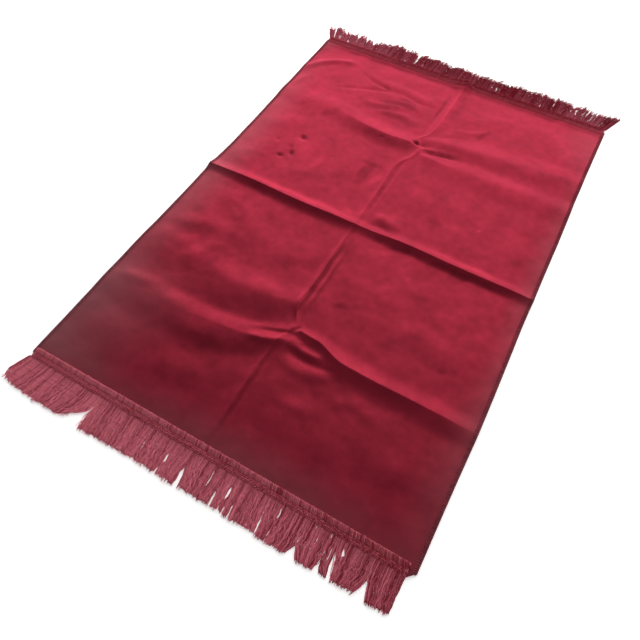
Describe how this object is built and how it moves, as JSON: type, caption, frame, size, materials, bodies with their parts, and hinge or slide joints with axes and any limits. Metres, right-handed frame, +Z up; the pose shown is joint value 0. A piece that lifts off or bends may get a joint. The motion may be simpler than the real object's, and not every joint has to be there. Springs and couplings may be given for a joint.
{
  "type": "prayer rug",
  "caption": "Rectangular velvet prayer rug laid flat, creased from being stored folded, with overlocked long sides and a brush fringe on a knitted heading at both short ends.",
  "frame": {"origin": "on the floor under the middle of the cloth, which is the bottom centre of the whole box within 2 mm", "axes": "+X across the rug, +Y along it from the near fringe to the far one, +Z up out of the pile"},
  "size_m": [0.7316, 1.1683, 0.0095],
  "materials": {
    "velvet": "cut velvet pile, dark red, bright where it slopes away from the eye",
    "overlock_thread": "spun thread stitched over the edge, dark red",
    "fringe_yarn": "soft twisted yarn, dull rose red"
  },
  "bodies": {
    "root": {"rug_body": "velvet", "edging_left": "overlock_thread", "edging_right": "overlock_thread", "fringe_near": "fringe_yarn", "fringe_far": "fringe_yarn"}
  },
  "joints": []
}
